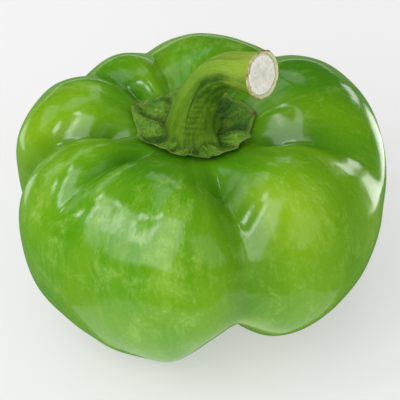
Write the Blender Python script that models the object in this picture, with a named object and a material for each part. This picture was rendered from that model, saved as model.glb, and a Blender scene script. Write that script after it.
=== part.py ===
"""A squat green bell pepper: the lobed fruit body, the calyx in its crown and the cut stem. Metres, +Z up."""

from collections import namedtuple

import bmesh
import bpy
import numpy as np

# The fruit body. Directions are degrees from +X, anticlockwise seen from above.
# "crest" is the rounded top edge of a lobe, "waist" its widest level, "foot" the knob it ends in below.
# "fullness" shapes the flank between waist and foot: 1 is an ellipse, more is slimmer. A foot height
# below zero is flattened on the surface the fruit rests on.
Lobe = namedtuple(
    "Lobe", "toward reach crest_height crest_radius waist_height foot_height foot_radius fullness"
)
LOBES = (
    Lobe(202, 0.0463, 0.0621, 0.025, 0.040, 0.0040, 0.024, 0.95),
    Lobe(246, 0.0423, 0.0600, 0.022, 0.036, -0.0008, 0.019, 1.15),
    Lobe(330, 0.0484, 0.0619, 0.027, 0.036, 0.0046, 0.016, 1.20),
    Lobe(27, 0.0503, 0.0650, 0.028, 0.042, -0.0008, 0.022, 1.00),
    Lobe(80, 0.0468, 0.0625, 0.026, 0.042, -0.0008, 0.022, 1.00),
    Lobe(122, 0.0472, 0.0611, 0.024, 0.039, 0.0030, 0.022, 1.00),
    Lobe(154, 0.0473, 0.0619, 0.0275, 0.040, -0.0008, 0.022, 1.00),
)
# The furrows between the lobes: how far each reaches to either side, how deep it is at the crest,
# the waist and the foot, how far it parts the feet from below, and how far it drifts sideways.
Furrow = namedtuple("Furrow", "toward half_width at_crest at_waist at_foot parting drift")
FURROWS = (
    Furrow(290, 36, 0.0080, 0.0060, 0.0046, 0.0185, -6),
    Furrow(353, 30, 0.0070, 0.0007, 0.0020, 0.0060, 0),
    Furrow(57, 28, 0.0054, 0.0030, 0.0040, 0.0080, 0),
    Furrow(108, 20, 0.0038, 0.0016, 0.0020, 0.0030, 0),
    Furrow(134, 20, 0.0056, 0.0016, 0.0020, 0.0030, 0),
    Furrow(183, 22, 0.0060, 0.0080, 0.0030, 0.0085, 0),
    Furrow(217, 12, 0.0034, 0.0000, 0.0000, 0.0000, 0),
)
FURROW_SHARPNESS = 2.2
FURROW_ROUNDING = 0.04
FURROW_ROUNDING_BELOW = 0.16
FURROWS_BEGIN = 0.010
FURROWS_FULL = 0.020
CROWN_HEIGHT = 0.056
CROWN_FLAT = 0.25
BLOSSOM_DIMPLE = 0.011
# Share of the way from the crown to the blossom end at which crest, waist and foot lie.
AT_CREST = 0.22
AT_WAIST = 0.47
AT_FOOT = 0.80
BODY_SEGMENTS = 80
BODY_RINGS = 44

# The calyx: a thin green dish in the crown, with a blunt tip wherever a sepal ends.
Tip = namedtuple("Tip", "toward reach")
TIPS = (
    Tip(156, 0.0168),
    Tip(194, 0.0143),
    Tip(222, 0.0112),
    Tip(256, 0.0102),
    Tip(290, 0.0114),
    Tip(325, 0.0138),
    Tip(346, 0.0152),
    Tip(13, 0.0164),
    Tip(58, 0.0160),
    Tip(100, 0.0152),
)
CALYX_NOTCH = 0.08
CALYX_GAP = 0.0004
CALYX_THICKNESS = 0.0014
CALYX_RISE = 0.0032
CALYX_FLAT = 0.007
CALYX_DISH_SPAN = 0.008
CALYX_SEGMENTS = 54
CALYX_RINGS = 14

# The stem: it rises from the calyx, bends over toward one side and ends in a flared cut.
STEM_TOWARD = -33
STEM_GAP = 0.0004
Station = namedtuple("Station", "out up radius")
STEM = (
    Station(0.0000, 0.0000, 0.0066),
    Station(0.0000, 0.0030, 0.0060),
    Station(0.0005, 0.0077, 0.0055),
    Station(0.0025, 0.0147, 0.0050),
    Station(0.0057, 0.0209, 0.0046),
    Station(0.0098, 0.0246, 0.0044),
    Station(0.0148, 0.0259, 0.0048),
    Station(0.0200, 0.0272, 0.0057),
)
STEM_UNIT = 0.001
STEM_ROUNDNESS = 4
STEM_STEPS = 3


def ease(x):
    x = np.clip(x, 0.0, 1.0)
    return x * x * (3.0 - 2.0 * x)


def round_the_axis(items, values, angle):
    """A value that each item holds in its own direction, eased between neighbours all the way round."""
    order = sorted(range(len(items)), key=lambda i: items[i].toward % 360)
    turns = np.array([items[i].toward % 360 for i in order], float)
    held = np.array([values[i] for i in order], float)
    turns = np.concatenate([[turns[-1] - 360], turns, [turns[0] + 360]])
    held = np.concatenate([held[-1:], held, held[:1]])
    angle = np.mod(angle, 360)
    place = np.clip(np.searchsorted(turns, angle, side="right") - 1, 0, len(turns) - 2)
    share = (angle - turns[place]) / (turns[place + 1] - turns[place])
    return held[place] + (held[place + 1] - held[place]) * ease(share), share


def of_lobes(field, angle):
    return round_the_axis(LOBES, [getattr(lobe, field) for lobe in LOBES], angle)[0]


def half_profile(angle, down):
    """Radius and height of the uncreased fruit, "down" running from 0 at the crown to 1 at the blossom end."""
    reach = of_lobes("reach", angle)
    crest_height = of_lobes("crest_height", angle)
    crest_radius = of_lobes("crest_radius", angle)
    waist_height = of_lobes("waist_height", angle)
    foot_height = of_lobes("foot_height", angle)
    foot_radius = of_lobes("foot_radius", angle)
    fullness = of_lobes("fullness", angle)

    crown = down / AT_CREST
    shoulder = np.clip((down - AT_CREST) / (AT_WAIST - AT_CREST), 0, 1) * np.pi / 2
    flank = np.clip((down - AT_WAIST) / (AT_FOOT - AT_WAIST), 0, 1) * np.pi / 2
    under = (down - AT_FOOT) / (1 - AT_FOOT)
    parts = [down < AT_CREST, down < AT_WAIST, down < AT_FOOT]
    radius = np.select(
        parts,
        [
            crest_radius * crown,
            crest_radius + (reach - crest_radius) * np.sin(shoulder),
            foot_radius + (reach - foot_radius) * np.cos(flank) ** fullness,
        ],
        foot_radius * (1 - under),
    )
    height = np.select(
        parts,
        [
            CROWN_HEIGHT
            + (crest_height - CROWN_HEIGHT) * ease((crown - CROWN_FLAT) / (1 - CROWN_FLAT)),
            waist_height + (crest_height - waist_height) * np.cos(shoulder),
            foot_height + (waist_height - foot_height) * (1 - np.sin(flank)),
        ],
        foot_height + (BLOSSOM_DIMPLE - foot_height) * ease(under),
    )
    return radius, height


def furrow_depth(angle, down):
    """How deep the furrows cut in along the skin's normal, and how far they lift the skin at the feet."""
    to_waist = ease((down - AT_CREST) / (AT_WAIST - AT_CREST))
    to_foot = ease((down - AT_WAIST) / (AT_FOOT - AT_WAIST))
    drifting = ease((down - 0.8 * AT_WAIST) / (AT_FOOT - 0.8 * AT_WAIST))
    rounding = FURROW_ROUNDING + (FURROW_ROUNDING_BELOW - FURROW_ROUNDING) * drifting
    depth = np.zeros_like(down)
    lift = np.zeros_like(down)
    for furrow in FURROWS:
        middle = furrow.toward + furrow.drift * drifting
        off = np.abs((angle - middle + 180) % 360 - 180) / furrow.half_width
        off = np.hypot(off, rounding)
        full = furrow.at_crest
        full = full + (furrow.at_waist - furrow.at_crest) * to_waist
        full = full + (furrow.at_foot - furrow.at_waist) * to_foot
        closeness = np.clip(1 - off, 0, 1) ** FURROW_SHARPNESS
        depth = depth + full * closeness
        lift = lift + furrow.parting * to_foot * closeness
    return depth, lift


def fruit_surface(angle, down):
    """Points of the fruit's skin, its own axis at X = Y = 0."""
    step = 0.001
    radius, height = half_profile(angle, down)
    radius_above, height_above = half_profile(angle, np.clip(down - step, 0, 1))
    radius_below, height_below = half_profile(angle, np.clip(down + step, 0, 1))
    along = np.hypot(radius_below - radius_above, height_below - height_above)
    out = -(height_below - height_above) / along
    up = (radius_below - radius_above) / along
    open_up = ease((radius - FURROWS_BEGIN) / (FURROWS_FULL - FURROWS_BEGIN))
    depth, lift = furrow_depth(angle, down)
    radius = radius - out * depth * open_up
    height = np.maximum(height + (lift - up * depth) * open_up, 0.0)
    turn = np.radians(angle)
    return np.stack([radius * np.cos(turn), radius * np.sin(turn), height], axis=-1)


def directions(mesh_builder):
    """Direction round Z in degrees and share of the way down from the top pole, for each vertex of a ball."""
    co = np.array([v.co for v in mesh_builder.verts])
    angle = np.degrees(np.arctan2(co[:, 1], co[:, 0]))
    down = np.arctan2(np.hypot(co[:, 0], co[:, 1]), co[:, 2]) / np.pi
    return angle, down


def make_body():
    builder = bmesh.new()
    bmesh.ops.create_uvsphere(builder, u_segments=BODY_SEGMENTS, v_segments=BODY_RINGS, radius=1.0)
    angle, down = directions(builder)
    for vert, co in zip(builder.verts, fruit_surface(angle, down)):
        vert.co = co
    return builder


def middle_of(builder):
    co = np.array([v.co for v in builder.verts])
    return (co.min(axis=0) + co.max(axis=0)) / 2


def calyx_edge(angle):
    """Distance from the axis to the calyx's edge: full at the sepal tips, drawn in between them."""
    reach, share = round_the_axis(TIPS, [tip.reach for tip in TIPS], angle)
    return reach * (1 - CALYX_NOTCH * np.sin(np.pi * share) ** 0.8)


def make_calyx():
    """A ball pressed flat into a dish: its upper half is the calyx's upper face, its lower half the underside."""
    builder = bmesh.new()
    bmesh.ops.create_uvsphere(builder, u_segments=CALYX_SEGMENTS, v_segments=CALYX_RINGS, radius=1.0)
    angle, down = directions(builder)
    out = 1 - np.abs(1 - 2 * down)
    radius = calyx_edge(angle) * out
    dish = CALYX_RISE * (np.clip(radius - CALYX_FLAT, 0, None) / CALYX_DISH_SPAN) ** 1.5
    floor = CROWN_HEIGHT + CALYX_GAP + dish
    half = CALYX_THICKNESS / 2
    rounded = np.sqrt(np.clip(1 - out**6, 0, 1))
    height = floor + half + half * rounded * np.where(down <= 0.5, 1, -1)
    turn = np.radians(angle)
    for vert, r, a, z in zip(builder.verts, radius, turn, height):
        vert.co = (r * np.cos(a), r * np.sin(a), z)
    return builder


def stem_course():
    """Stations along the stem, rounded with a Catmull-Rom curve through the driving ones."""
    driving = np.array(STEM)
    ends = [2 * driving[0] - driving[1]], [2 * driving[-1] - driving[-2]]
    knots = np.concatenate([ends[0], driving, ends[1]])
    course = []
    for a, b, c, d in zip(knots, knots[1:], knots[2:], knots[3:]):
        for share in np.arange(STEM_STEPS) / STEM_STEPS:
            course.append(
                0.5 * (2 * b + (c - a) * share + (2 * a - 5 * b + 4 * c - d) * share**2
                       + (3 * b - 3 * c + d - a) * share**3)
            )
    course.append(driving[-1])
    return np.array(course)


def make_stem(collection):
    """A curve through the stem's course, as thick at each point as the stem is there, with both ends closed."""
    turn = np.radians(STEM_TOWARD)
    foot = CROWN_HEIGHT + CALYX_GAP + CALYX_THICKNESS + STEM_GAP
    course = stem_course()
    curve = bpy.data.curves.new("stem", "CURVE")
    curve.dimensions = "3D"
    curve.bevel_depth = STEM_UNIT
    curve.bevel_resolution = STEM_ROUNDNESS
    curve.use_fill_caps = True
    spline = curve.splines.new("POLY")
    spline.points.add(len(course) - 1)
    for point, (out, up, radius) in zip(spline.points, course):
        point.co = (out * np.cos(turn), out * np.sin(turn), foot + up, 1.0)
        point.radius = radius / STEM_UNIT
    stem = bpy.data.objects.new("stem", curve)
    collection.objects.link(stem)
    return stem


def finish(builder, name, collection):
    """Turns a builder into an object with smooth faces."""
    mesh = bpy.data.meshes.new(name)
    builder.to_mesh(mesh)
    builder.free()
    mesh.shade_smooth()
    mesh.set_sharp_from_angle(angle=np.radians(40))
    made = bpy.data.objects.new(name, mesh)
    collection.objects.link(made)
    return made


def colour(made, name, base, roughness):
    material = bpy.data.materials.new(name)
    material.use_nodes = True
    shader = material.node_tree.nodes["Principled BSDF"]
    shader.inputs["Base Color"].default_value = (*base, 1.0)
    shader.inputs["Roughness"].default_value = roughness
    shader.inputs["Metallic"].default_value = 0.0
    made.data.materials.append(material)


def main():
    for old in list(bpy.data.objects):
        bpy.data.objects.remove(old, do_unlink=True)
    collection = bpy.data.collections.new("bell_pepper")
    bpy.context.scene.collection.children.link(collection)

    fruit = make_body()
    middle = middle_of(fruit)
    body = finish(fruit, "pepper_body", collection)
    calyx = finish(make_calyx(), "calyx", collection)
    stem = make_stem(collection)
    colour(body, "pepper_skin", (0.10, 0.30, 0.02), 0.25)
    colour(calyx, "calyx_green", (0.08, 0.20, 0.03), 0.50)
    colour(stem, "stem_green", (0.22, 0.34, 0.05), 0.45)
    for piece in (body, calyx, stem):
        piece.location = (-middle[0], -middle[1], 0.0)


main()
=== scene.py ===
"""Looks of a green bell pepper: glossy lobed fruit, puckered calyx and a bent, cut stem. Metres, +Z up."""

from collections import namedtuple

import bmesh
import bpy
import numpy as np
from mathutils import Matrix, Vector, noise


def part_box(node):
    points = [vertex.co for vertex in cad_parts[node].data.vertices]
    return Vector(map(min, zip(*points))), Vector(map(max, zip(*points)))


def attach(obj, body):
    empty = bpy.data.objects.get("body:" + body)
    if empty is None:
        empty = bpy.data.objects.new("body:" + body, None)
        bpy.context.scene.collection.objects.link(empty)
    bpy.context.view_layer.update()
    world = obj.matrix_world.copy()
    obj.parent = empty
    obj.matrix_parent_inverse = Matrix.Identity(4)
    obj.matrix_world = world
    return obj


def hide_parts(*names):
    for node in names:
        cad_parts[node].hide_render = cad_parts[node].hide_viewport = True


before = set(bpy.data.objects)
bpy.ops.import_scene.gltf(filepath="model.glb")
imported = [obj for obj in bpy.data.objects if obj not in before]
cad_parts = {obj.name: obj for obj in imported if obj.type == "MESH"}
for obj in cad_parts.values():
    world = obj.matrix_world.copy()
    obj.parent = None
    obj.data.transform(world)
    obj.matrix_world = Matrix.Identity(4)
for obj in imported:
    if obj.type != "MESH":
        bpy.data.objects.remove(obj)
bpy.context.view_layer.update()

# ---------------------------------------------------------------- the fruit's own dimensions
# Directions are degrees from +X, anticlockwise seen from above.
# "crest" is the rounded top edge of a lobe, "waist" its widest level, "foot" the knob it ends in below.
Lobe = namedtuple(
    "Lobe", "toward reach crest_height crest_radius waist_height foot_height foot_radius fullness"
)
LOBES = (
    Lobe(202, 0.0463, 0.0621, 0.025, 0.040, 0.0040, 0.024, 0.95),
    Lobe(246, 0.0423, 0.0600, 0.022, 0.036, -0.0008, 0.019, 1.15),
    Lobe(330, 0.0484, 0.0619, 0.027, 0.036, 0.0046, 0.016, 1.20),
    Lobe(27, 0.0503, 0.0650, 0.028, 0.042, -0.0008, 0.022, 1.00),
    Lobe(80, 0.0468, 0.0625, 0.026, 0.042, -0.0008, 0.022, 1.00),
    Lobe(122, 0.0472, 0.0611, 0.024, 0.039, 0.0030, 0.022, 1.00),
    Lobe(154, 0.0473, 0.0619, 0.0275, 0.040, -0.0008, 0.022, 1.00),
)
Furrow = namedtuple("Furrow", "toward half_width at_crest at_waist at_foot parting drift")
FURROWS = (
    Furrow(290, 36, 0.0080, 0.0060, 0.0046, 0.0185, -6),
    Furrow(353, 30, 0.0070, 0.0007, 0.0020, 0.0060, 0),
    Furrow(57, 28, 0.0054, 0.0030, 0.0040, 0.0080, 0),
    Furrow(108, 20, 0.0038, 0.0016, 0.0020, 0.0030, 0),
    Furrow(134, 20, 0.0056, 0.0016, 0.0020, 0.0030, 0),
    Furrow(183, 22, 0.0060, 0.0080, 0.0030, 0.0085, 0),
    Furrow(217, 12, 0.0034, 0.0000, 0.0000, 0.0000, 0),
)
FURROW_SHARPNESS = 2.2
FURROW_ROUNDING = 0.04
FURROW_ROUNDING_BELOW = 0.16
FURROWS_BEGIN = 0.010
FURROWS_FULL = 0.020
CROWN_HEIGHT = 0.056
CROWN_FLAT = 0.25
BLOSSOM_DIMPLE = 0.011
AT_CREST = 0.22
AT_WAIST = 0.47
AT_FOOT = 0.80
# Share of the way to the waist at which the furrows begin to drift sideways and to round off.
DRIFT_BEGINS = 0.8
BODY_SEGMENTS = 320
BODY_RINGS = 220
# How far down the fruit the skin's grain counts against once round it.
GRAIN_LENGTH = 3.0
# Uneven waves of a surface: height, fineness, stretch along the third axis and start in the noise.
Wave = namedtuple("Wave", "height fineness stretch start")
SWELL_DEPTH = 0.00055
SWELLS = (Wave(1.0, 2.6, 0.8, 0.0), Wave(0.45, 6.0, 0.7, 7.3))
SCAR_RADIUS = 0.0032
SCAR_DEPTH = 0.0012
# The depth of furrow that counts as one for the painted shade and the painted floor reflection in the
# furrows.
FURROW_SHADED = 0.008
# Where the skin is yellower (positive) or a deeper green (negative): direction in degrees, share of the
# way down, and the spread of both.
Blush = namedtuple("Blush", "toward down wide long amount")
BLUSHES = (
    Blush(311, 0.32, 17, 0.12, 0.85),
    Blush(300, 0.24, 12, 0.06, 0.50),
    Blush(340, 0.42, 12, 0.12, 0.35),
    Blush(262, 0.40, 10, 0.12, 0.45),
    Blush(236, 0.55, 14, 0.10, -0.30),
    Blush(205, 0.58, 26, 0.16, -0.45),
    Blush(330, 0.62, 20, 0.10, -0.35),
    Blush(176, 0.36, 13, 0.11, 0.65),
    Blush(160, 0.24, 12, 0.06, 0.25),
    Blush(210, 0.40, 12, 0.10, 0.35),
    Blush(95, 0.30, 14, 0.10, 0.40),
    Blush(30, 0.24, 24, 0.08, -0.80),
    Blush(38, 0.32, 26, 0.12, -0.50),
    Blush(20, 0.40, 16, 0.10, -0.45),
    Blush(222, 0.20, 18, 0.06, -0.80),
    Blush(255, 0.20, 14, 0.05, -0.45),
    Blush(128, 0.22, 12, 0.06, -0.40),
    Blush(100, 0.20, 12, 0.05, -0.40),
)
# Where the skin is paler, in the same terms: mottling, and at 291 degrees low down a painted reflection of
# the floor in the front furrow.
MOTTLES_AND_REFLECTION = (
    Blush(250, 0.31, 16, 0.09, 0.60),
    # This patch paints the bright floor's reflection low in the front furrow.
    Blush(291, 0.60, 11, 0.10, 1.90),
    Blush(258, 0.50, 14, 0.10, 0.45),
    Blush(205, 0.33, 12, 0.08, 0.70),
    Blush(297, 0.40, 7, 0.14, 0.80),
    Blush(322, 0.33, 8, 0.08, 0.60),
    Blush(345, 0.34, 8, 0.10, 0.60),
    Blush(158, 0.30, 12, 0.08, 0.50),
    Blush(60, 0.36, 20, 0.10, 0.50),
    Blush(120, 0.42, 20, 0.10, 0.50),
    Blush(10, 0.56, 20, 0.10, 0.40),
)
# How far the edges of those patches wander, in degrees and in share of the way down.
BLUSH_WANDERS = 7.0
BLUSH_WANDERS_DOWN = 0.035
BLUSH_WAVE = Wave(1.0, 3.2, 0.7, 21.0)
BLUSH_WAVE_DOWN = Wave(1.0, 3.2, 0.7, 33.0)

# ---------------------------------------------------------------- the calyx
Tip = namedtuple("Tip", "toward reach")
TIPS = (
    Tip(156, 0.0168),
    Tip(194, 0.0143),
    Tip(222, 0.0112),
    Tip(256, 0.0102),
    Tip(290, 0.0121),
    Tip(325, 0.0138),
    Tip(346, 0.0152),
    Tip(13, 0.0164),
    Tip(58, 0.0160),
    Tip(100, 0.0152),
)
CALYX_NOTCH = 0.08
CALYX_GAP = 0.0004
CALYX_THICKNESS = 0.0014
CALYX_RISE = 0.0032
CALYX_FLAT = 0.007
CALYX_DISH_SPAN = 0.008
# Puffs stand up from the calyx and creases sink into it, each at a direction and distance from the axis.
Fold = namedtuple("Fold", "toward at wide long height")
CALYX_FOLDS = (
    Fold(177, 0.0092, 12, 0.0024, 0.0022),
    Fold(136, 0.0103, 12, 0.0024, 0.0019),
    Fold(100, 0.0105, 10, 0.0026, 0.0010),
    Fold(22, 0.0118, 10, 0.0026, 0.0011),
    Fold(343, 0.0110, 9, 0.0026, 0.0010),
    Fold(305, 0.0088, 10, 0.0018, 0.0007),
    Fold(156, 0.0110, 5, 0.0040, -0.0013),
    Fold(201, 0.0105, 7, 0.0035, -0.0013),
    Fold(236, 0.0080, 7, 0.0020, -0.0006),
    Fold(276, 0.0076, 9, 0.0014, -0.0007),
    Fold(325, 0.0098, 5, 0.0030, -0.0010),
    Fold(2, 0.0112, 6, 0.0036, -0.0011),
    Fold(47, 0.0112, 7, 0.0036, -0.0010),
    Fold(80, 0.0110, 5, 0.0036, -0.0009),
    Fold(118, 0.0110, 5, 0.0036, -0.0009),
)
CALYX_WAVES = (
    Wave(0.00070, 2.4, 0.7, 0.0),
    Wave(0.00040, 5.5, 0.5, 3.0),
    Wave(0.00020, 10.0, 0.8, 5.0),
)
CALYX_SMOOTH_WITHIN = 0.30
# The calyx lies on the skin from this distance out, over this much further, with this share of its rise.
CALYX_LIES_FROM = 0.005
CALYX_LIES_OVER = 0.006
CALYX_LIES = 0.94
# It bridges furrows this many degrees to each side and stays this clear of the skin.
CALYX_BRIDGES = 12.0
CALYX_BRIDGE_STEP = 6.0
CALYX_CLEAR = 0.0006
# The margin curls up over the outer share of the reach, most in front.
CALYX_MARGIN = 0.14
CALYX_CURL = 0.00035
CALYX_CURL_WAVE = Wave(0.0007, 2.1, 1.0, 11.0)
CALYX_FRONT_CURL = Fold(283, 0.0110, 20, 0.0040, 0.0005)
# It thins towards the margin, from this share of the reach out.
CALYX_THINNING = 0.55
CALYX_THINS_FROM = 0.55
# The height of fold that counts as one for the painted highlight on the puffs and the painted shade in the
# creases.
CALYX_FOLD_SHADED = 0.0012
CALYX_SEGMENTS = 288
CALYX_RINGS = 120

# ---------------------------------------------------------------- the stem
STEM_TOWARD = -33
Station = namedtuple("Station", "out up radius")
STEM = (
    Station(0.0000, 0.0000, 0.0066),
    Station(0.0001, 0.0030, 0.0059),
    Station(0.0008, 0.0077, 0.0053),
    Station(0.0030, 0.0146, 0.0047),
    Station(0.0062, 0.0205, 0.0044),
    Station(0.0101, 0.0240, 0.0042),
    Station(0.0148, 0.0254, 0.0047),
    Station(0.0195, 0.0270, 0.0057),
)
# Ribs run up the stem: height, number round it, start in radians and turn in radians a metre.
Rib = namedtuple("Rib", "height count start turn")
STEM_RIBS = (Rib(0.00034, 5, 0.4, 20), Rib(0.00020, 9, 0.0, -30))
# Uneven waves of the stem's surface: height, fineness round it and along it, start in the noise.
Ripple = namedtuple("Ripple", "height fineness fineness_along start")
STEM_RIPPLES = (Ripple(0.00045, 1.6, 0.35, 2.0), Ripple(0.00026, 4.5, 0.5, 5.0))
# How many units of the stem's grain a metre makes.
STEM_GRAIN = 60
# Across the inside of the bend run fine wrinkles, in radians a metre, and broader rumples.
WRINKLE_HEIGHT = 0.00010
WRINKLE_TURNS = 3100
WRINKLE_SWAY = 4.0
STEM_RUMPLES = Ripple(0.00016, 2.2, 2.6, 8.0)
# The bend's inside ends this far along, over this much.
BEND_BEGINS_OVER = 0.006
BEND_ENDS = 0.0355
BEND_ENDS_OVER = 0.008
# The stem spreads into a ragged skirt at the foot and flares at the cut, fading over these lengths.
SKIRT_FADES = 0.0014
SKIRT_SPREAD = 0.0004
SKIRT_RIB = Rib(0.0005, 7, 0.5, 0)
SKIRT_RAGGED = 0.0005
FLARE_FADES = 0.0012
FLARE_SPREAD = 0.00022
FLARE_RAGGED = 0.00010
PITH_GRAIN = 0.00006
# How far the stem's foot reaches into the calyx, and how far the foot's underside goes below that.
STEM_SET_IN = 0.0004
STEM_SUNK = 0.0012
STEM_SEGMENTS = 320
STEM_STEPS = 22
# The stem is rumpled on the inside of its bend, which turns towards the front as it goes along.
STEM_INSIDE = 345
STEM_INSIDE_TURNS = 42
# A crease runs up the stem from this direction and turns so many degrees a metre.
CREASE_TOWARD = 289
CREASE_TURNS = 1300
CREASE_ENDS = 0.027
CREASE = Fold(0, 0.0140, 4.5, 0.012, -0.00030)
CREASE_BANK = Fold(15, 0.0120, 9, 0.012, 0.00024)
STEM_KNOBS = (
    Fold(30, 0.0030, 22, 0.0026, 0.0014),
    Fold(345, 0.0024, 18, 0.0020, 0.0006),
    Fold(6, 0.0036, 8, 0.0024, -0.0006),
)
# The cut isn't quite square: it faces a little to the side.
CUT_SKEW = 0.08
# Across the cut: share of its radius, and how far each ring stands out from or sinks into it.
CutRing = namedtuple("CutRing", "share stands")
CUT_RINGS = (
    CutRing(1.010, 0.0001),
    CutRing(1.000, 0.0003),
    CutRing(0.975, 0.00045),
    CutRing(0.945, 0.00045),
    CutRing(0.910, 0.0003),
    CutRing(0.885, 0.0002),
    CutRing(0.855, 0.00005),
    CutRing(0.825, 0.0),
    CutRing(0.795, 0.00015),
    CutRing(0.765, 0.0003),
    CutRing(0.730, 0.00025),
    CutRing(0.680, 0.0002),
    CutRing(0.600, 0.0002),
    CutRing(0.500, 0.0002),
    CutRing(0.380, 0.0002),
    CutRing(0.250, 0.0002),
    CutRing(0.120, 0.0002),
)


# ---------------------------------------------------------------- shape of the fruit
def ease(x):
    x = np.clip(x, 0.0, 1.0)
    return x * x * (3.0 - 2.0 * x)


def round_the_axis(items, values, angle):
    """A value that each item holds in its own direction, eased between neighbours all the way round."""
    order = sorted(range(len(items)), key=lambda i: items[i].toward % 360)
    turns = np.array([items[i].toward % 360 for i in order], float)
    held = np.array([values[i] for i in order], float)
    turns = np.concatenate([[turns[-1] - 360], turns, [turns[0] + 360]])
    held = np.concatenate([held[-1:], held, held[:1]])
    angle = np.mod(angle, 360)
    place = np.clip(np.searchsorted(turns, angle, side="right") - 1, 0, len(turns) - 2)
    share = (angle - turns[place]) / (turns[place + 1] - turns[place])
    return held[place] + (held[place + 1] - held[place]) * ease(share), share


def of_lobes(measure, angle):
    return round_the_axis(LOBES, [getattr(lobe, measure) for lobe in LOBES], angle)[0]


def half_profile(angle, down):
    """Radius and height of the uncreased fruit; "down" runs from 0 at the crown to 1 at the blossom end."""
    reach = of_lobes("reach", angle)
    crest_height = of_lobes("crest_height", angle)
    crest_radius = of_lobes("crest_radius", angle)
    waist_height = of_lobes("waist_height", angle)
    foot_height = of_lobes("foot_height", angle)
    foot_radius = of_lobes("foot_radius", angle)
    fullness = of_lobes("fullness", angle)

    crown = down / AT_CREST
    shoulder = np.clip((down - AT_CREST) / (AT_WAIST - AT_CREST), 0, 1) * np.pi / 2
    flank = np.clip((down - AT_WAIST) / (AT_FOOT - AT_WAIST), 0, 1) * np.pi / 2
    under = (down - AT_FOOT) / (1 - AT_FOOT)
    parts = [down < AT_CREST, down < AT_WAIST, down < AT_FOOT]
    radius = np.select(
        parts,
        [
            crest_radius * crown,
            crest_radius + (reach - crest_radius) * np.sin(shoulder),
            foot_radius + (reach - foot_radius) * np.cos(flank) ** fullness,
        ],
        foot_radius * (1 - under),
    )
    height = np.select(
        parts,
        [
            CROWN_HEIGHT
            + (crest_height - CROWN_HEIGHT) * ease((crown - CROWN_FLAT) / (1 - CROWN_FLAT)),
            waist_height + (crest_height - waist_height) * np.cos(shoulder),
            foot_height + (waist_height - foot_height) * (1 - np.sin(flank)),
        ],
        foot_height + (BLOSSOM_DIMPLE - foot_height) * ease(under),
    )
    return radius, height


def furrow_depth(angle, down):
    """How deep the furrows cut in along the skin's normal, and how far they lift the skin at the feet."""
    to_waist = ease((down - AT_CREST) / (AT_WAIST - AT_CREST))
    to_foot = ease((down - AT_WAIST) / (AT_FOOT - AT_WAIST))
    drift_begins = DRIFT_BEGINS * AT_WAIST
    drifting = ease((down - drift_begins) / (AT_FOOT - drift_begins))
    rounding = FURROW_ROUNDING + (FURROW_ROUNDING_BELOW - FURROW_ROUNDING) * drifting
    depth = np.zeros_like(down)
    lift = np.zeros_like(down)
    for furrow in FURROWS:
        middle = furrow.toward + furrow.drift * drifting
        off = np.abs((angle - middle + 180) % 360 - 180) / furrow.half_width
        off = np.hypot(off, rounding)
        full = furrow.at_crest
        full = full + (furrow.at_waist - furrow.at_crest) * to_waist
        full = full + (furrow.at_foot - furrow.at_waist) * to_foot
        closeness = np.clip(1 - off, 0, 1) ** FURROW_SHARPNESS
        depth = depth + full * closeness
        lift = lift + furrow.parting * to_foot * closeness
    return depth, lift


def fruit_surface(angle, down, swollen=True):
    """Points of the fruit's skin with its axis at X = Y = 0, and how deep in a furrow each one lies."""
    step = 0.001
    radius, height = half_profile(angle, down)
    radius_above, height_above = half_profile(angle, np.clip(down - step, 0, 1))
    radius_below, height_below = half_profile(angle, np.clip(down + step, 0, 1))
    along = np.hypot(radius_below - radius_above, height_below - height_above)
    out = -(height_below - height_above) / along
    up = (radius_below - radius_above) / along
    open_up = ease((radius - FURROWS_BEGIN) / (FURROWS_FULL - FURROWS_BEGIN))
    depth, lift = furrow_depth(angle, down)
    swell = SWELL_DEPTH * skin_swell(angle, down) * open_up if swollen else 0.0
    radius = radius - out * (depth * open_up - swell)
    height = np.maximum(height + (lift - up * depth) * open_up + up * swell, 0.0)
    turn = np.radians(angle)
    points = np.stack([radius * np.cos(turn), radius * np.sin(turn), height], axis=-1)
    return points, depth * open_up


def grain_of(angle, down):
    """Coordinates that follow the skin: round the axis in X and Y without a seam, down the fruit in Z."""
    turn = np.radians(angle)
    return np.stack([np.cos(turn), np.sin(turn), down * GRAIN_LENGTH], axis=-1)


def field(points, scale, offset=0.0):
    """Smooth noise at each point, about -1 to 1."""
    return np.array([noise.noise(Vector(p) * scale + Vector((offset, 0, 0))) for p in points])


def waves(points, *table):
    return sum(
        wave.height * field(points * (1, 1, wave.stretch), wave.fineness, wave.start) for wave in table
    )


def skin_swell(angle, down):
    """Slow uneven swellings of the skin, longer down the fruit than round it."""
    return waves(grain_of(angle, down), *SWELLS)


def blush(marks, angle, down):
    """The sum of rounded patches on the skin, ragged at their edges."""
    grain = grain_of(angle, down)
    aside = angle + BLUSH_WANDERS * waves(grain, BLUSH_WAVE)
    along = down + BLUSH_WANDERS_DOWN * waves(grain, BLUSH_WAVE_DOWN)
    total = np.zeros_like(down)
    for mark in marks:
        off = ((aside - mark.toward + 180) % 360 - 180) / mark.wide
        total += mark.amount * np.exp(-(off**2) - ((along - mark.down) / mark.long) ** 2)
    return total


def directions(builder):
    """For each vertex of a ball: direction round Z in degrees, share of the way down from the top pole."""
    co = np.array([v.co for v in builder.verts])
    angle = np.degrees(np.arctan2(co[:, 1], co[:, 0]))
    down = np.arctan2(np.hypot(co[:, 0], co[:, 1]), co[:, 2]) / np.pi
    return angle, down


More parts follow.
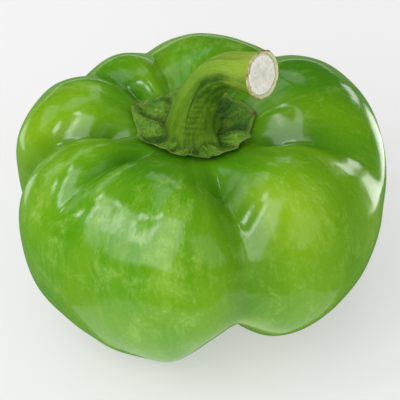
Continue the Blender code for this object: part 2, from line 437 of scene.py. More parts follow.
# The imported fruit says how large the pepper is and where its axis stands.
body_low, body_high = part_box("pepper_body")
round_about, downwards = np.meshgrid(np.arange(0, 360, 3.0), np.linspace(0.02, 0.98, 60))
outline = fruit_surface(round_about.ravel(), downwards.ravel())[0]
SCALE = (body_high.x - body_low.x) / np.ptp(outline[:, 0])
AXIS = np.array(
    [
        (body_low.x + body_high.x) / 2 - SCALE * (outline[:, 0].min() + outline[:, 0].max()) / 2,
        (body_low.y + body_high.y) / 2 - SCALE * (outline[:, 1].min() + outline[:, 1].max()) / 2,
        body_low.z,
    ]
)


def in_place(points):
    """Points from the fruit's own drawing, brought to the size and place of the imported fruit."""
    return points * SCALE + AXIS


def keep(mesh, name, kind, values):
    """Stores a value or a vector per vertex for the material to read."""
    attribute = mesh.attributes.new(name, kind, "POINT")
    field_name = "vector" if kind == "FLOAT_VECTOR" else "value"
    attribute.data.foreach_set(field_name, np.ascontiguousarray(values, np.float32).ravel())


def piece(builder, name, points):
    """Turns a ball into a named, smooth object by moving each of its vertices to its point."""
    for vert, co in zip(builder.verts, in_place(points)):
        vert.co = co
    mesh = bpy.data.meshes.new(name)
    builder.to_mesh(mesh)
    builder.free()
    mesh.shade_smooth()
    made = bpy.data.objects.new(name, mesh)
    bpy.context.scene.collection.objects.link(made)
    return made


def make_skin():
    builder = bmesh.new()
    bmesh.ops.create_uvsphere(builder, u_segments=BODY_SEGMENTS, v_segments=BODY_RINGS, radius=1.0)
    angle, down = directions(builder)
    points, furrow = fruit_surface(angle, down)
    scar = ease(1 - np.hypot(points[:, 0], points[:, 1]) / SCAR_RADIUS) * (down > 0.5)
    points[:, 2] -= SCAR_DEPTH * scar
    skin = piece(builder, "fruit_skin", points)
    keep(skin.data, "grain", "FLOAT_VECTOR", grain_of(angle, down))
    keep(skin.data, "furrow", "FLOAT", furrow / FURROW_SHADED)
    keep(skin.data, "scar", "FLOAT", scar)
    keep(skin.data, "down", "FLOAT", down)
    keep(skin.data, "yellow", "FLOAT", blush(BLUSHES, angle, down))
    keep(skin.data, "mottle", "FLOAT", blush(MOTTLES_AND_REFLECTION, angle, down))
    return skin


# ---------------------------------------------------------------- shape of the calyx
def calyx_edge(angle):
    """How far the calyx reaches in each direction, and the share of the way from one tip to the next."""
    reach, share = round_the_axis(TIPS, [tip.reach for tip in TIPS], angle)
    return reach * (1 - CALYX_NOTCH * np.sin(np.pi * share) ** 0.8), share


def skin_level(angle, radius):
    """Height of the crown's skin at a distance from the axis, smoothed so that furrows are bridged."""
    total = np.zeros_like(radius)
    offsets = np.arange(-CALYX_BRIDGES, CALYX_BRIDGES + 1, CALYX_BRIDGE_STEP)
    for offset in offsets:
        turned = angle + offset
        down = np.clip(radius / of_lobes("crest_radius", turned) * AT_CREST, 0, AT_CREST)
        total += fruit_surface(turned, down, swollen=False)[0][:, 2]
    return total / len(offsets)


def mound(angle, distance, fold):
    """A rounded mound one high, centred in one direction at one distance from the axis or from the foot."""
    aside = (np.mod(angle - fold.toward + 180, 360) - 180) / fold.wide
    beyond = (distance - fold.at) / fold.long
    return np.exp(-(aside**2) - beyond**2)


def mounds(angle, distance, *folds):
    return sum(fold.height * mound(angle, distance, fold) for fold in folds)


def make_calyx():
    builder = bmesh.new()
    bmesh.ops.create_uvsphere(builder, u_segments=CALYX_SEGMENTS, v_segments=CALYX_RINGS, radius=1.0)
    angle, down = directions(builder)
    out = 1 - np.abs(1 - 2 * down)
    edge, share = calyx_edge(angle)
    turn = np.radians(angle)
    radius = edge * out
    dish = CALYX_RISE * (np.clip(radius - CALYX_FLAT, 0, None) / CALYX_DISH_SPAN) ** 1.5
    laid = skin_level(angle, radius) + CALYX_CLEAR - CROWN_HEIGHT - CALYX_GAP
    dish = dish + (laid - dish) * ease((radius - CALYX_LIES_FROM) / CALYX_LIES_OVER) * CALYX_LIES
    round_and_out = np.stack([np.cos(turn) * 2.2, np.sin(turn) * 2.2, out * 1.6], axis=-1)
    rib = np.abs(2 * share - 1) ** 1.6
    between = np.clip((out - CALYX_SMOOTH_WITHIN) / (1 - CALYX_SMOOTH_WITHIN), 0, 1)
    folds = waves(round_and_out, *CALYX_WAVES) * np.sin(np.pi * between) ** 0.7
    folds += mounds(angle, radius, *CALYX_FOLDS)
    curl = ease((out - 1 + CALYX_MARGIN) / CALYX_MARGIN)
    lip = CALYX_CURL + waves(round_and_out, CALYX_CURL_WAVE) + mounds(angle, radius, CALYX_FRONT_CURL)
    thin = 1 - CALYX_THINNING * ease((out - CALYX_THINS_FROM) / (1 - CALYX_THINS_FROM))
    half = CALYX_THICKNESS / 2 * np.sqrt(np.clip(1 - out**10, 0, 1)) * thin
    middle = CROWN_HEIGHT + CALYX_GAP + CALYX_THICKNESS / 2 + dish + folds + curl * lip
    height = middle + half * np.where(down <= 0.5, 1, -1)
    points = np.stack([radius * np.cos(turn), radius * np.sin(turn), height], axis=-1)
    calyx = piece(builder, "calyx_dish", points)
    keep(calyx.data, "grain", "FLOAT_VECTOR", np.stack([np.cos(turn), np.sin(turn), out], axis=-1))
    keep(calyx.data, "out", "FLOAT", out)
    keep(calyx.data, "rib", "FLOAT", rib)
    keep(calyx.data, "fold", "FLOAT", folds / CALYX_FOLD_SHADED)
    return calyx


# ---------------------------------------------------------------- shape of the stem
def stem_course():
    """Stations along the stem, rounded with a Catmull-Rom curve through the driving ones."""
    driving = np.array(STEM)
    ends = [2 * driving[0] - driving[1]], [2 * driving[-1] - driving[-2]]
    knots = np.concatenate([ends[0], driving, ends[1]])
    course = []
    for a, b, c, d in zip(knots, knots[1:], knots[2:], knots[3:]):
        for share in np.arange(STEM_STEPS) / STEM_STEPS:
            course.append(
                0.5 * (2 * b + (c - a) * share + (2 * a - 5 * b + 4 * c - d) * share**2
                       + (3 * b - 3 * c + d - a) * share**3)
            )
    course.append(driving[-1])
    return np.array(course)


def ribbed(rib, phi, along):
    return rib.height * np.cos(rib.count * phi + rib.start + rib.turn * along)


def rippled(ripple, place):
    """Waves of one height whose fineness along the stem differs from that round it."""
    fineness = (ripple.fineness, ripple.fineness, ripple.fineness_along)
    return ripple.height * field(place * fineness, 1.0, ripple.start)


def make_stem():
    """A ball drawn out along the stem's course: one pole in the middle of the cut, one in the foot."""
    course = stem_course()
    out, up, wide = course.T
    lean = np.arctan2(np.gradient(out), np.gradient(up))
    lean[:3] = 0.0
    length = np.concatenate([[0], np.cumsum(np.hypot(np.diff(out), np.diff(up)))])
    cut = np.array(CUT_RINGS)
    count = len(course)
    level_of = np.concatenate([np.arange(count), np.full(len(cut) + 1, count - 1)])
    share_of = np.concatenate([np.ones(count), cut[:, 0], [0.0]])
    stands_of = np.concatenate([np.zeros(count), cut[:, 1], [cut[-1, 1]]])
    is_cut = np.concatenate([np.zeros(count), np.ones(len(cut) + 1)])
    rings_total = len(level_of)

    builder = bmesh.new()
    bmesh.ops.create_uvsphere(
        builder, u_segments=STEM_SEGMENTS, v_segments=rings_total, radius=1.0
    )
    angle, down = directions(builder)
    ring = np.clip(rings_total - np.rint(down * rings_total).astype(int) - 1, -1, rings_total - 1)
    foot_pole = ring < 0
    ring = np.maximum(ring, 0)
    level = level_of[ring]
    phi = np.radians(angle)
    along = length[level] + stands_of[ring]
    round_and_along = np.stack([np.cos(phi), np.sin(phi), along * STEM_GRAIN], axis=-1)

    radius = wide[level].copy()
    ribs = sum(ribbed(rib, phi, along) for rib in STEM_RIBS)
    ribs += sum(rippled(ripple, round_and_along) for ripple in STEM_RIPPLES)
    beyond = ease((along - 0.012) / 0.010)
    inside = np.cos(phi - np.radians(STEM_INSIDE - STEM_INSIDE_TURNS * beyond))
    inner = ease((inside + 0.10 - 0.35 * beyond) / (0.75 - 0.15 * beyond))
    bend = ease(along / BEND_BEGINS_OVER) * ease((BEND_ENDS - along) / BEND_ENDS_OVER)
    ribs *= (1 - 0.75 * inner * bend) * (1 - 0.7 * ease((along - length[-1]) / 0.007 + 1))
    from_crease = angle - CREASE_TOWARD + CREASE_TURNS * np.clip(along, 0, CREASE_ENDS)
    crease = mound(from_crease, along, CREASE)
    ribs += mounds(from_crease, along, CREASE, CREASE_BANK)
    rumple = field(round_and_along * (1, 1, 0.5), 1.6, 9.0)
    wrinkles = np.sin(along * WRINKLE_TURNS + WRINKLE_SWAY * rumple)
    wrinkles *= WRINKLE_HEIGHT * ease(0.55 + field(round_and_along, 1.3, 6.0))
    ribs += (wrinkles + rippled(STEM_RUMPLES, round_and_along)) * inner * bend
    ribs += mounds(angle, along, *STEM_KNOBS)
    skirt = SKIRT_SPREAD + ribbed(SKIRT_RIB, phi, along) + SKIRT_RAGGED * field(round_and_along, 3.0, 7.0)
    ribs += skirt * np.exp(-along / SKIRT_FADES)
    flare = FLARE_SPREAD + rippled(Ripple(FLARE_RAGGED, 2.0, 0.0, 3.5), round_and_along)
    ribs += flare * np.exp((along - length[-1]) / FLARE_FADES)
    ribs *= 1 - 0.6 * is_cut[ring]
    radius = (radius + ribs) * share_of[ring]
    radius[foot_pole] = 0.0

    turn = np.radians(STEM_TOWARD)
    toward = np.array([np.cos(turn), np.sin(turn), 0.0])
    aside = np.array([-np.sin(turn), np.cos(turn), 0.0])
    upward = np.array([0.0, 0.0, 1.0])
    foot = CROWN_HEIGHT + CALYX_GAP + CALYX_THICKNESS - STEM_SET_IN
    lean = lean[level][:, None]
    forward = np.sin(lean) * toward + np.cos(lean) * upward
    across = np.cos(lean) * toward - np.sin(lean) * upward
    sunk = np.where(level == 0, -STEM_SUNK, up[level])
    middle = out[level][:, None] * toward + (foot + sunk[:, None]) * upward
    near_cut = np.exp((np.minimum(along, length[-1]) - length[-1]) / 0.004)
    skew = CUT_SKEW * radius * np.sin(phi) * near_cut
    points = middle + forward * (stands_of[ring] + skew)[:, None]
    points = points + radius[:, None] * (np.cos(phi)[:, None] * across + np.sin(phi)[:, None] * aside)
    pith = PITH_GRAIN * field(round_and_along * (share_of[ring] * 5)[:, None] * (1, 1, 0), 1.4, 4.0)
    points = points + forward * (pith * is_cut[ring] * (share_of[ring] < 0.9))[:, None]
    stem = piece(builder, "stem_stalk", points)
    keep(stem.data, "grain", "FLOAT_VECTOR", round_and_along)
    keep(stem.data, "along", "FLOAT", along / length[-1])
    # Painted shade on the inside of the bend and on the underside towards the cut, stored as 'inner'.
    shaded = inner * np.maximum(bend, 0.6 * beyond) * (0.65 + 0.35 * beyond)
    keep(stem.data, "inner", "FLOAT", shaded)
    keep(stem.data, "crease", "FLOAT", crease)
    keep(stem.data, "cut", "FLOAT", is_cut[ring])
    keep(stem.data, "across_cut", "FLOAT", np.where(is_cut[ring] > 0, share_of[ring], 1.2))
    share = share_of[ring]
    plane = np.stack([np.cos(phi) * share, np.sin(phi) * share, is_cut[ring]], axis=-1)
    keep(stem.data, "cut_plane", "FLOAT_VECTOR", plane)
    return stem


# ---------------------------------------------------------------- colours and shader nodes
def paint(red, green, blue):
    """A colour given as 0 to 255 display values, as the shader's linear values."""
    display = np.array([red, green, blue]) / 255
    linear = np.where(display <= 0.04045, display / 12.92, ((display + 0.055) / 1.055) ** 2.4)
    return (*linear.tolist(), 1.0)


class Bench:
    """Adds nodes to one shader tree and wires them up."""

    def __init__(self, tree):
        self.tree = tree

    def add(self, kind, inputs=(), **settings):
        node = self.tree.nodes.new(kind)
        for name, value in settings.items():
            setattr(node, name, value)
        for name, value in dict(inputs).items():
            self.set(node.inputs[name], value)
        return node

    def set(self, socket, value):
        if isinstance(value, bpy.types.NodeSocket):
            self.tree.links.new(value, socket)
        else:
            socket.default_value = value

    def math(self, operation, first, second=0.0, clamp=False):
        return self.add(
            "ShaderNodeMath", {0: first, 1: second}, operation=operation, use_clamp=clamp
        ).outputs[0]

    def spread(self, value, low, high, to_low=0.0, to_high=1.0):
        """The value moved from one range to another, eased and kept inside it."""
        node = self.add(
            "ShaderNodeMapRange",
            {"Value": value, "From Min": low, "From Max": high, "To Min": to_low, "To Max": to_high},
            interpolation_type="SMOOTHSTEP",
        )
        return node.outputs["Result"]

    def mix(self, factor, first, second, blend="MIX"):
        node = self.add("ShaderNodeMix", data_type="RGBA", blend_type=blend)
        self.set(node.inputs[0], factor)
        self.set(node.inputs[6], first)
        self.set(node.inputs[7], second)
        return node.outputs[2]

    def lay(self, under, over, mask, strength=1.0):
        """A colour, given as display values, laid over another where the mask is."""
        if strength != 1.0:
            mask = self.math("MULTIPLY", mask, strength)
        return self.mix(mask, under, paint(*over))

    def stretch(self, vector, scale):
        return self.add("ShaderNodeMapping", {"Vector": vector, "Scale": scale}).outputs["Vector"]

    def noise(self, vector, scale, detail=3.0, roughness=0.5, distortion=0.0):
        node = self.add(
            "ShaderNodeTexNoise",
            {"Vector": vector, "Scale": scale, "Detail": detail, "Roughness": roughness,
             "Distortion": distortion},
        )
        return node.outputs["Fac"]

    def stored(self, name, vector=False):
        node = self.add("ShaderNodeAttribute", attribute_name=name)
        return node.outputs["Vector" if vector else "Fac"]

    def emboss(self, shader, relief, strength, distance):
        """Fine relief too small for the mesh."""
        height = {"Height": relief, "Strength": strength, "Distance": distance}
        self.set(shader.inputs["Normal"], self.add("ShaderNodeBump", height).outputs["Normal"])

    def group(self, tree, **inputs):
        node = self.add("ShaderNodeGroup", node_tree=tree)
        for name, value in inputs.items():
            self.set(node.inputs[name.replace("_", " ")], value)
        return node.outputs[0]


def new_group(name, inputs, output):
    tree = bpy.data.node_groups.new(name, "ShaderNodeTree")
    for title, kind in inputs:
        tree.interface.new_socket(name=title, in_out="INPUT", socket_type=kind)
    tree.interface.new_socket(name=output, in_out="OUTPUT", socket_type="NodeSocketFloat")
    bench = Bench(tree)
    return tree, bench, bench.add("NodeGroupInput").outputs, bench.add("NodeGroupOutput").inputs[0]


def streaks_group():
    """Fine pale lines that run with the grain and break up into patches."""
    tree, bench, given, result = new_group(
        "grain_streaks",
        (("Grain", "NodeSocketVector"), ("Fineness", "NodeSocketFloat"), ("Patchiness", "NodeSocketFloat")),
        "Streaks",
    )
    long_grain = bench.stretch(given["Grain"], (1, 1, 0.22))
    fine = bench.noise(long_grain, given["Fineness"], 5.0, 0.62)
    fine = bench.spread(fine, 0.50, 0.70)
    patches = bench.noise(bench.stretch(given["Grain"], (1, 1, 0.7)), given["Patchiness"], 3.0, 0.6)
    patches = bench.spread(patches, 0.40, 0.66)
    bench.set(result, bench.math("MULTIPLY", fine, patches))
    return tree


def specks_group():
    """Small round specks, a few to the square centimetre."""
    tree, bench, given, result = new_group(
        "specks", (("Vector", "NodeSocketVector"), ("Density", "NodeSocketFloat")), "Specks"
    )
    cells = bench.add(
        "ShaderNodeTexVoronoi", {"Vector": given["Vector"], "Scale": given["Density"]}
    )
    dot = bench.spread(cells.outputs["Distance"], 0.05, 0.16, 1.0, 0.0)
    chosen = bench.spread(
        bench.add("ShaderNodeSeparateColor", {"Color": cells.outputs["Color"]}).outputs["Red"], 0.55, 0.75
    )
    bench.set(result, bench.math("MULTIPLY", dot, chosen))
    return tree


def new_material(name):
    material = bpy.data.materials.new(name)
    material.use_nodes = True
    bench = Bench(material.node_tree)
    shader = material.node_tree.nodes["Principled BSDF"]
    return material, bench, shader


# Colours of the skin, as display values from 0 to 255.
SKIN_DEEP = (82, 145, 4)
SKIN_BRIGHT = (101, 155, 6)
SKIN_BAND = (134, 176, 12)
SKIN_YELLOW = (142, 182, 16)
SKIN_GREEN = (56, 122, 4)
SKIN_SMUDGE = (162, 198, 92)
SKIN_BROAD_STREAK = (160, 196, 84)
SKIN_FINE_STREAK = (176, 206, 104)
SKIN_FRECKLE = (176, 206, 108)
# Painted shade in the furrows.
SKIN_FURROW_SHADE = (40, 104, 14)
# Painted shade towards the crown.
SKIN_CROWN_SHADE = (58, 126, 12)
# Painted reflection of the bright floor, low on the fruit.
SKIN_FLOOR_REFLECTION = (150, 188, 70)
# Painted reflection of the bright floor, low in the furrows.
SKIN_FURROW_FOOT_REFLECTION = (176, 204, 104)
SKIN_SPECK = (176, 206, 110)
SKIN_SCAR = (120, 92, 52)
SKIN_ROUGHNESS = (0.13, 0.20)


def skin_material(streaks, specks):
    material, bench, shader = new_material("pepper_skin")
    place = bench.add("ShaderNodeTexCoord").outputs["Object"]
    grain = bench.stored("grain", vector=True)
    furrow = bench.stored("furrow")
    down = bench.stored("down")

    yellow = bench.stored("yellow")
    mottling_and_reflection = bench.stored("mottle")
    clouds = bench.spread(bench.noise(place, 22.0, 3.0, 0.55, 0.4), 0.38, 0.62)
    colour = bench.mix(clouds, paint(*SKIN_DEEP), paint(*SKIN_BRIGHT))
    bands = bench.spread(bench.noise(bench.stretch(grain, (1, 1, 0.3)), 2.6, 3.0, 0.55), 0.45, 0.65)
    colour = bench.lay(colour, SKIN_BAND, bands, 0.25)
    colour = bench.lay(colour, SKIN_YELLOW, bench.spread(yellow, 0.0, 1.0), 0.75)
    colour = bench.lay(colour, SKIN_GREEN, bench.spread(yellow, -1.0, 0.0, 0.8, 0.0))
    # Pale smudges on the skin, which also carry the painted floor reflection from the patch at 291 degrees.
    smudge = bench.noise(bench.stretch(grain, (1, 1, 0.85)), 6.5, 6.0, 0.7, 0.6)
    smudge = bench.math("ADD", smudge, bench.math("MULTIPLY", mottling_and_reflection, 0.16))
    smudge = bench.spread(smudge, 0.50, 0.76)
    colour = bench.lay(colour, SKIN_SMUDGE, smudge, 0.32)
    broad = bench.group(streaks, Grain=grain, Fineness=11.0, Patchiness=2.4)
    colour = bench.lay(colour, SKIN_BROAD_STREAK, broad, 0.12)
    fine = bench.group(streaks, Grain=grain, Fineness=34.0, Patchiness=3.4)
    colour = bench.lay(colour, SKIN_FINE_STREAK, fine, 0.14)
    freckles = bench.spread(bench.noise(bench.stretch(grain, (1, 1, 0.7)), 60.0, 4.0, 0.7), 0.50, 0.66)
    freckles = bench.math("MULTIPLY", freckles, bench.spread(smudge, 0.0, 0.6, 0.07, 0.24))
    colour = bench.lay(colour, SKIN_FRECKLE, freckles)
    # Painted shade: the skin darker deep in the furrows.
    shade = bench.spread(furrow, 0.05, 0.75)
    colour = bench.lay(colour, SKIN_FURROW_SHADE, shade, 0.50)
    # Painted shade: the skin darker towards the crown, in the basin round the calyx.
    crown = bench.spread(down, 0.10, 0.24, 1.0, 0.0)
    colour = bench.lay(colour, SKIN_CROWN_SHADE, crown, 0.50)
    # Painted reflection of the bright floor: the skin paler towards the bottom.
    floor_reflection = bench.spread(down, 0.66, 0.86)
    colour = bench.lay(colour, SKIN_FLOOR_REFLECTION, floor_reflection, 0.40)
    # Painted reflection of the bright floor: paler low down in the furrows.
    foot = bench.math("MULTIPLY", bench.spread(furrow, 0.15, 0.6), bench.spread(down, 0.50, 0.62))
    colour = bench.lay(colour, SKIN_FURROW_FOOT_REFLECTION, foot, 0.60)
    dots = bench.group(specks, Vector=place, Density=420.0)
    colour = bench.lay(colour, SKIN_SPECK, dots, 0.10)
    scar = bench.stored("scar")
    colour = bench.lay(colour, SKIN_SCAR, bench.spread(scar, 0.05, 0.55))
    bench.set(shader.inputs["Base Color"], colour)

    uneven = bench.noise(place, 55.0, 4.0, 0.6)
    bench.set(shader.inputs["Roughness"], bench.spread(uneven, 0.3, 0.7, *SKIN_ROUGHNESS))
    shader.inputs["Specular IOR Level"].default_value = 0.5
    shader.inputs["Coat Weight"].default_value = 0.30
    shader.inputs["Coat Roughness"].default_value = 0.10
    pores = bench.noise(place, 700.0, 3.0, 0.6)
    lines = bench.noise(bench.stretch(grain, (1, 1, 0.30)), 22.0, 4.0, 0.62)
    lines = bench.math("MULTIPLY", lines, bench.spread(down, 0.14, 0.32, 0.12, 1.0))
    relief = bench.math("ADD", lines, bench.math("MULTIPLY", pores, 0.10))
    bench.emboss(shader, relief, 0.18, 0.0005)
    return material


# Colours of the calyx.
CALYX_DEEP = (78, 134, 14)
CALYX_BRIGHT = (112, 162, 32)
CALYX_VEIN = (118, 156, 36)
# Painted highlight on the puffs.
CALYX_PUFF_HIGHLIGHT = (120, 158, 50)
# Painted shade in the creases.
CALYX_CREASE_SHADE = (30, 72, 8)
CALYX_EDGE = (126, 158, 62)
CALYX_CENTRE = (82, 84, 38)
CALYX_SPECK = (150, 132, 84)
CALYX_TIP = (118, 88, 38)
CALYX_SCUFF = (60, 62, 22)
# Painted shade in the wrinkle hollows.
CALYX_WRINKLE_SHADE = (36, 76, 6)
# Painted highlight on the wrinkle ridges.
CALYX_RIDGE_HIGHLIGHT = (176, 198, 124)
CALYX_ROUGHNESS = (0.30, 0.46)


def calyx_material(specks):
    material, bench, shader = new_material("calyx_green")
    place = bench.add("ShaderNodeTexCoord").outputs["Object"]
    grain = bench.stored("grain", vector=True)
    out = bench.stored("out")
    fold = bench.stored("fold")
    clouds = bench.spread(bench.noise(place, 160.0, 4.0, 0.6), 0.38, 0.62)
    colour = bench.mix(clouds, paint(*CALYX_DEEP), paint(*CALYX_BRIGHT))
    veins = bench.noise(bench.stretch(grain, (1, 1, 0.25)), 9.0, 4.0, 0.6)
    colour = bench.lay(colour, CALYX_VEIN, bench.spread(veins, 0.48, 0.66), 0.45)
    # Painted highlight: the puffs paler where they stand up.
    puff_highlight = bench.spread(fold, 0.15, 1.1)
    colour = bench.lay(colour, CALYX_PUFF_HIGHLIGHT, puff_highlight, 0.30)
    # Painted shade: the calyx darker in its sunken creases.
    sunk = bench.spread(fold, -0.5, 0.0, 1.0, 0.0)
    colour = bench.lay(colour, CALYX_CREASE_SHADE, sunk, 0.60)
    margin = bench.spread(out, 0.90, 0.985)
    colour = bench.lay(colour, CALYX_EDGE, margin, 0.75)
    centre = bench.spread(out, 0.45, 0.62, 1.0, 0.0)
    colour = bench.lay(colour, CALYX_CENTRE, centre, 0.50)
    dots = bench.group(specks, Vector=place, Density=900.0)
    colour = bench.lay(colour, CALYX_SPECK, dots, 0.50)
    near_tip = bench.spread(out, 0.88, 0.97)
    tip = bench.math("MULTIPLY", bench.spread(bench.stored("rib"), 0.60, 0.95), near_tip)
    blotch = bench.spread(bench.noise(place, 420.0, 3.0, 0.6), 0.46, 0.60)
    colour = bench.lay(colour, CALYX_TIP, bench.math("MULTIPLY", tip, blotch))
    scuff = bench.spread(bench.noise(place, 330.0, 4.0, 0.7), 0.60, 0.68)
    colour = bench.lay(colour, CALYX_SCUFF, scuff, 0.45)
    wrinkle = bench.noise(bench.stretch(grain, (1, 1, 2.2)), 14.0, 5.0, 0.65)
    # Painted shade: darker in the hollows of the wrinkle relief.
    wrinkle_shade = bench.spread(wrinkle, 0.36, 0.50, 1.0, 0.0)
    colour = bench.lay(colour, CALYX_WRINKLE_SHADE, wrinkle_shade, 0.55)
    # Painted highlight: pale on the wrinkle ridges of the puffs.
    ridge_highlight = bench.math("MULTIPLY", bench.spread(wrinkle, 0.54, 0.68), bench.spread(fold, 0.0, 0.8))
    colour = bench.lay(colour, CALYX_RIDGE_HIGHLIGHT, ridge_highlight, 0.50)
    bench.set(shader.inputs["Base Color"], colour)
    bench.set(shader.inputs["Roughness"], bench.spread(veins, 0.3, 0.7, *CALYX_ROUGHNESS))
    shader.inputs["Specular IOR Level"].default_value = 0.45
    grit = bench.noise(place, 1400.0, 3.0, 0.6)
    relief = bench.math("ADD", wrinkle, bench.math("MULTIPLY", grit, 0.25))
    bench.emboss(shader, relief, 0.9, 0.0008)
    return material


# Colours of the stem and of its cut.
STEM_DEEP = (82, 130, 12)
STEM_BRIGHT = (110, 155, 28)
STEM_TOWARD_CUT = (148, 178, 44)
STEM_LINE = (160, 184, 76)
STEM_MOTTLE = (146, 172, 56)
STEM_SCRATCH = (60, 84, 18)
# Painted shade on the stem's underside.
STEM_UNDERSIDE_SHADE = (46, 88, 2)
# Painted shade in the stem's crease.
STEM_CREASE_SHADE = (46, 72, 10)
# Painted shade at the stem's foot.
STEM_FOOT_SHADE = (46, 72, 14)
STEM_SPECK = (70, 74, 30)
PITH = (248, 246, 234)
PITH_DULL = (228, 225, 206)
PITH_EDGE = (248, 248, 238)
CUT_RING = (178, 186, 136)
CUT_BAND = (208, 208, 158)
RIM_TAN = (176, 148, 92)
RIM_BROWN = (132, 82, 46)
STEM_ROUGHNESS = 0.42
CUT_ROUGHNESS = 0.75


def stem_material(streaks, specks):
    material, bench, shader = new_material("stem_green")
    place = bench.add("ShaderNodeTexCoord").outputs["Object"]
    grain = bench.stored("grain", vector=True)
    along = bench.stored("along")
    inner = bench.stored("inner")
    crease = bench.stored("crease")
    across = bench.stored("across_cut")
    plane = bench.stored("cut_plane", vector=True)

    clouds = bench.spread(bench.noise(bench.stretch(grain, (1, 1, 0.4)), 2.0, 4.0, 0.6), 0.35, 0.65)
    bark = bench.mix(clouds, paint(*STEM_DEEP), paint(*STEM_BRIGHT))
    toward_cut = bench.spread(along, 0.50, 0.95)
    bark = bench.lay(bark, STEM_TOWARD_CUT, toward_cut, 0.75)
    lines = bench.group(streaks, Grain=bench.stretch(grain, (1, 1, 0.5)), Fineness=7.0, Patchiness=1.6)
    bark = bench.lay(bark, STEM_LINE, lines, 0.35)
    mottle = bench.spread(bench.noise(bench.stretch(grain, (1, 1, 0.6)), 9.0, 5.0, 0.7), 0.40, 0.62)
    bark = bench.lay(bark, STEM_MOTTLE, mottle, 0.32)
    scratches = bench.spread(bench.noise(bench.stretch(grain, (1, 1, 1.8)), 14.0, 4.0, 0.7), 0.56, 0.66)
    bark = bench.lay(bark, STEM_SCRATCH, scratches, 0.38)
    # Painted shade on the inside of the bend and on the underside near the cut, dappled.
    dapple = bench.spread(bench.noise(grain, 3.0, 4.0, 0.65), 0.34, 0.60, 0.45, 1.0)
    bark = bench.lay(bark, STEM_UNDERSIDE_SHADE, bench.math("MULTIPLY", inner, dapple))
    # Painted shade: darker along the sunken crease.
    bark = bench.lay(bark, STEM_CREASE_SHADE, bench.spread(crease, 0.35, 1.0), 0.80)
    # Painted shade: the stem darker at its foot, where it meets the calyx.
    foot = bench.spread(along, 0.0, 0.10, 1.0, 0.0)
    bark = bench.lay(bark, STEM_FOOT_SHADE, foot, 0.60)
    dots = bench.group(specks, Vector=place, Density=700.0)
    bark = bench.lay(bark, STEM_SPECK, dots, 0.35)

    flat = bench.stretch(plane, (1, 1, 0))
    wood = bench.noise(flat, 3.2, 6.0, 0.7)
    raggedness = bench.spread(bench.noise(flat, 5.0, 4.0, 0.6), 0.3, 0.7, -0.035, 0.035)
    ragged = bench.math("ADD", across, raggedness)
    pith = bench.mix(bench.spread(wood, 0.38, 0.62), paint(*PITH_DULL), paint(*PITH))
    cut = bench.lay(pith, PITH_EDGE, bench.spread(ragged, 0.70, 0.77))
    cut = bench.lay(cut, CUT_RING, bench.spread(ragged, 0.81, 0.84))
    cut = bench.lay(cut, CUT_BAND, bench.spread(ragged, 0.86, 0.89))
    brown = bench.mix(bench.spread(wood, 0.42, 0.58), paint(*RIM_TAN), paint(*RIM_BROWN))
    side = bench.noise(flat, 1.1, 2.0, 0.5)
    one_side = bench.spread(side, 0.36, 0.56, 0.25, 1.0)
    rim = bench.math("MULTIPLY", bench.spread(ragged, 0.93, 0.99), one_side)
    cut = bench.mix(rim, cut, brown)
    on_cut = bench.spread(across, 1.01, 1.06, 1.0, 0.0)
    bench.set(shader.inputs["Base Color"], bench.mix(on_cut, bark, cut))
    bench.set(shader.inputs["Roughness"], bench.spread(on_cut, 0.0, 1.0, STEM_ROUGHNESS, CUT_ROUGHNESS))
    shader.inputs["Specular IOR Level"].default_value = 0.32
    fibre = bench.noise(bench.stretch(grain, (1, 1, 0.3)), 12.0, 4.0, 0.65)
    grit = bench.noise(place, 1500.0, 3.0, 0.6)
    relief = bench.math("ADD", fibre, bench.math("MULTIPLY", grit, 0.3))
    bench.emboss(shader, relief, 0.7, 0.0006)
    return material


# ---------------------------------------------------------------- the studio
FLOOR_HALF = 0.6
FLOOR_GREY = 0.46
FLOOR_GLOW = 0.415
# The colour that the skin mirrors from the darkened surroundings.
MIRRORED_TINT = (0.20, 0.34, 0.12, 1.0)


def make_floor():
    builder = bmesh.new()
    bmesh.ops.create_grid(builder, x_segments=8, y_segments=8, size=FLOOR_HALF)
    mesh = bpy.data.meshes.new("studio_floor")
    builder.to_mesh(mesh)
    builder.free()
    floor = bpy.data.objects.new("studio_floor", mesh)
    bpy.context.scene.collection.objects.link(floor)
    material, bench, shader = new_material("studio_white")
    mirrored = bench.add("ShaderNodeLightPath").outputs["Is Glossy Ray"]
    grey = (FLOOR_GREY, FLOOR_GREY, FLOOR_GREY, 1.0)
    bench.set(shader.inputs["Base Color"], bench.mix(mirrored, grey, MIRRORED_TINT))
    shader.inputs["Roughness"].default_value = 0.9
    shader.inputs["Specular IOR Level"].default_value = 0.1
    shader.inputs["Emission Color"].default_value = (1.0, 1.0, 1.0, 1.0)
    bench.set(shader.inputs["Emission Strength"], bench.spread(mirrored, 0.0, 1.0, FLOOR_GLOW, 0.0))
    mesh.materials.append(material)
    return floor


def panel(name, wide, tall, glow):
    """An even panel of light of a given brightness, which the camera does not see."""
    light = bpy.data.lights.new(name, "AREA")
    light.shape = "RECTANGLE"
    light.size = wide
    light.size_y = tall
    light.energy = glow * np.pi * wide * tall
    lamp = bpy.data.objects.new(name, light)
    lamp.visible_camera = False
    bpy.context.scene.collection.objects.link(lamp)
    return lamp


def softbox(name, azimuth, elevation, wide, tall, glow):
    """A panel one metre off that faces the pepper. Azimuth 0 is in front, 90 to the right."""
    lamp = panel(name, wide, tall, glow)
    a, e = np.radians(azimuth), np.radians(elevation)
    aim = Vector((AXIS[0], AXIS[1], 0.05))
    off = Vector((np.sin(a) * np.cos(e), -np.cos(a) * np.cos(e), np.sin(e)))
    lamp.location = aim + off
    lamp.rotation_euler = off.to_track_quat("Z", "Y").to_euler()


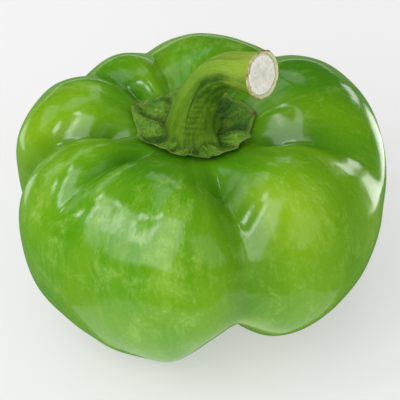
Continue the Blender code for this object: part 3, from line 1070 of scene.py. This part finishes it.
def floor_board(name, x, y, turn, wide, tall, glow):
    """A bright board lying on the floor, which the skin near it mirrors."""
    lamp = panel(name, wide, tall, glow)
    lamp.location = (AXIS[0] + x, AXIS[1] + y, 0.001)
    lamp.rotation_euler = (np.pi, 0.0, np.radians(turn))


ROOM_LIGHT = 0.63
ROOM_MIRRORED = 0.24
ROOM_SEEN = 0.86
# Panels one metre off: where from in degrees, size in metres, brightness.
Softbox = namedtuple("Softbox", "name azimuth elevation wide tall glow")
SOFTBOXES = (
    Softbox("key_panel", -26, 37, 0.60, 1.20, 2.05),
    Softbox("key_edge", -46, 44, 0.11, 0.46, 4.2),
    Softbox("left_strip", -74, 35, 0.13, 0.16, 8.5),
    Softbox("high_left_panel", -68, 62, 0.16, 0.14, 7.0),
    Softbox("back_left_panel", -134, 52, 0.70, 0.44, 0.95),
    Softbox("back_left_veil", -113, 24, 0.50, 0.40, 0.8),
    Softbox("back_veil", 178, 40, 0.30, 0.40, 0.9),
    Softbox("front_right_panel", 38, 28, 0.55, 0.60, 0.62),
    Softbox("rim_panel", 140, 3, 0.24, 0.16, 3.2),
)
# Boards on the floor: place from the pepper's axis, turn in degrees, size in metres, brightness.
FloorBoard = namedtuple("FloorBoard", "name x y turn wide tall glow")
FLOOR_BOARDS = (
    FloorBoard("rim_board", 0.182, 0.141, 47, 0.25, 0.06, 2.7),
    FloorBoard("left_rim_board", -0.190, 0.130, -47, 0.20, 0.06, 1.2),
    FloorBoard("back_board", -0.080, 0.400, 0, 0.50, 0.16, 0.8),
    FloorBoard("front_board", 0.010, -0.058, 0, 0.11, 0.063, 0.44),
)


def make_lights():
    for box in SOFTBOXES:
        softbox(*box)
    for board in FLOOR_BOARDS:
        floor_board(*board)
    world = bpy.data.worlds.new("studio")
    world.use_nodes = True
    bench = Bench(world.node_tree)
    background = world.node_tree.nodes["Background"]
    mirrored = bench.add("ShaderNodeLightPath").outputs["Is Glossy Ray"]
    bench.set(background.inputs["Color"], bench.mix(mirrored, (1.0, 1.0, 1.0, 1.0), MIRRORED_TINT))
    seen = bench.add("ShaderNodeLightPath").outputs["Is Camera Ray"]
    light = bench.spread(mirrored, 0.0, 1.0, ROOM_LIGHT, ROOM_MIRRORED)
    light = bench.math("ADD", light, bench.math("MULTIPLY", seen, ROOM_SEEN - ROOM_LIGHT))
    bench.set(background.inputs["Strength"], light)
    bpy.context.scene.world = world


VIEW_ELEVATION = 42.75
VIEW_AZIMUTH = -0.27
# The camera stands this far from the middle of the crown, at this elevation, and aims a little lower.
VIEW_DISTANCE = 0.520
VIEW_STANDS = 41.0
VIEW_LENS = 188.0


def make_camera():
    lens = bpy.data.cameras.new("view")
    lens.lens = VIEW_LENS
    lens.sensor_width = 36.0
    lens.clip_start = 0.01
    lens.clip_end = 50.0
    camera = bpy.data.objects.new("view", lens)
    elevation = np.radians(VIEW_STANDS)
    crown = AXIS + np.array([0.0, 0.0, CROWN_HEIGHT * SCALE])
    spot = crown + VIEW_DISTANCE * SCALE * np.array([0.0, -np.cos(elevation), np.sin(elevation)])
    a, e = np.radians(VIEW_AZIMUTH), np.radians(VIEW_ELEVATION)
    backward = Vector((np.sin(a) * np.cos(e), -np.cos(a) * np.cos(e), np.sin(e)))
    camera.location = spot
    camera.rotation_euler = backward.to_track_quat("Z", "Y").to_euler()
    bpy.context.scene.collection.objects.link(camera)
    bpy.context.scene.camera = camera


def main():
    streaks = streaks_group()
    specks = specks_group()
    skin = make_skin()
    calyx = make_calyx()
    stem = make_stem()
    for made, material, node, slot in (
        (skin, skin_material(streaks, specks), "pepper_body", "skin"),
        (calyx, calyx_material(specks), "calyx", "calyx"),
        (stem, stem_material(streaks, specks), "stem", "stem"),
    ):
        made.data.materials.append(material)
        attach(made, "root")
        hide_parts(node)
    make_floor()
    make_lights()
    make_camera()
    bpy.context.scene.view_settings.view_transform = "Standard"


main()
